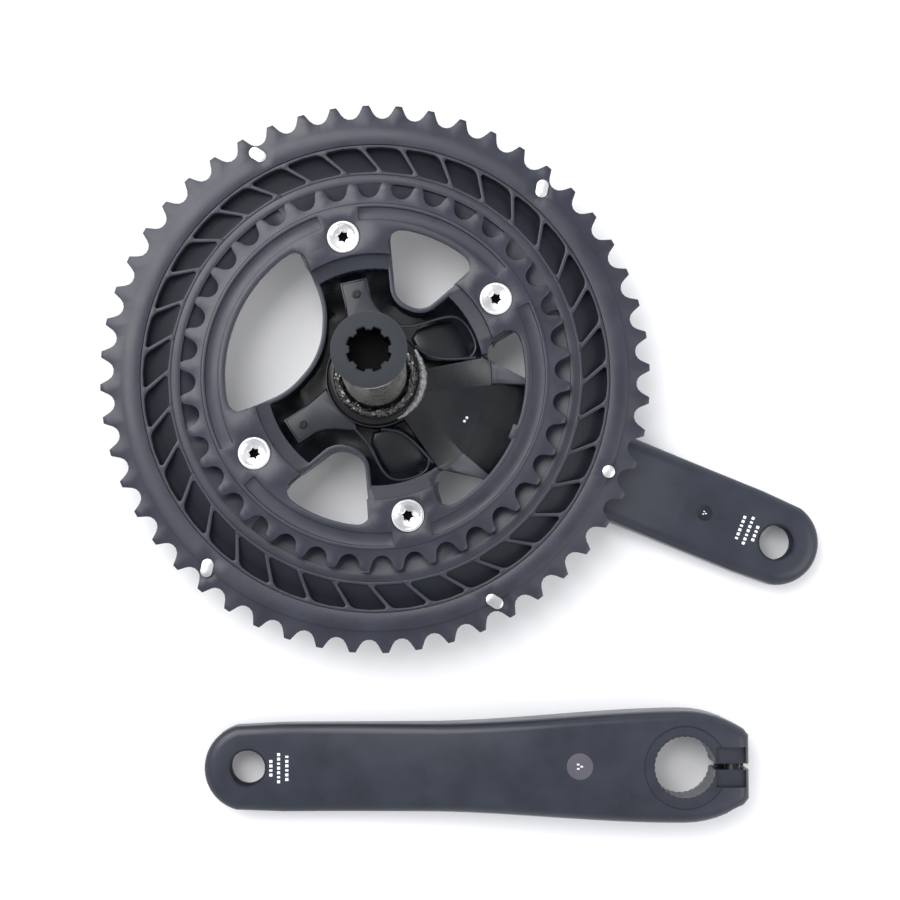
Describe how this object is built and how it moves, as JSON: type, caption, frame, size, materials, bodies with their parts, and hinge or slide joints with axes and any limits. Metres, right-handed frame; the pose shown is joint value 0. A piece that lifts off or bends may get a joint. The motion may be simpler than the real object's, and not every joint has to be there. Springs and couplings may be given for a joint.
{
  "type": "bicycle crankset",
  "caption": "Two-piece road crankset with hollow axle, four-arm spider and double chainring, its clamp-on left arm lying loose beside it.",
  "frame": {"origin": "on the axle's axis, in the plane of the arms' outer faces, on which the crankset lies", "axes": "+Z along the axle from the right arm towards its free left end, +X along the loose left arm from pedal hole to clamp, +Y from the left arm towards the chainrings"},
  "size_m": [0.2803, 0.2795, 0.132],
  "materials": {
    "arm_anodised": "satin anodised, dark blue-grey",
    "ring_anodised": "matte anodised, near black",
    "rib_resin": "moulded resin, matte",
    "axle_steel": "ground steel with a film of grease",
    "bolt_steel": "turned, nickel plated",
    "pin_steel": "bright",
    "seal_rubber": "oily black",
    "cap_resin": "moulded, fine grain",
    "label": "printed disc"
  },
  "bodies": {
    "drive_side": {"right_crank_arm": "arm_anodised", "axle": "axle_steel", "axle_seal": "seal_rubber", "axle_collar": "axle_steel", "big_chainring": "ring_anodised", "rib_ring": "rib_resin", "small_chainring": "ring_anodised", "ring_bolt_1": "bolt_steel", "ring_bolt_2": "bolt_steel", "ring_bolt_3": "bolt_steel", "ring_bolt_4": "bolt_steel", "shift_pin_1": "pin_steel", "shift_pin_2": "pin_steel", "shift_pin_3": "pin_steel", "shift_pin_4": "pin_steel", "chain_drop_pin": "pin_steel", "right_label": "label"},
    "preload_cap": {"preload_cap": "cap_resin"},
    "left_arm": {"left_crank_arm": "arm_anodised", "left_label": "label"},
    "pinch_bolt_1": {"pinch_bolt_1": "bolt_steel"},
    "pinch_bolt_2": {"pinch_bolt_2": "bolt_steel"},
    "stopper_plate": {"stopper_plate": "cap_resin"}
  },
  "joints": [
    {"name": "preload_cap_turn", "type": "hinge", "parent": "drive_side", "child": "preload_cap", "pos_m": [0, 0, 0.13], "axis": [0, 0, 1], "continuous": true},
    {"name": "left_arm_lift", "type": "slide", "parent": "drive_side", "child": "left_arm", "axis": [0, 0, 1], "range_m": [0, 0.06]},
    {"name": "pinch_bolt_1_turn", "type": "hinge", "parent": "left_arm", "child": "pinch_bolt_1", "pos_m": [0.1384, -0.1514, 0.0055], "axis": [0, 1, 0], "continuous": true},
    {"name": "pinch_bolt_2_turn", "type": "hinge", "parent": "left_arm", "child": "pinch_bolt_2", "pos_m": [0.1384, -0.1514, 0.0136], "axis": [0, 1, 0], "continuous": true},
    {"name": "stopper_flip", "type": "hinge", "parent": "left_arm", "child": "stopper_plate", "pos_m": [0.1384, -0.1514, 0.0055], "axis": [0, -1, 0], "range_deg": [0, 40]}
  ]
}
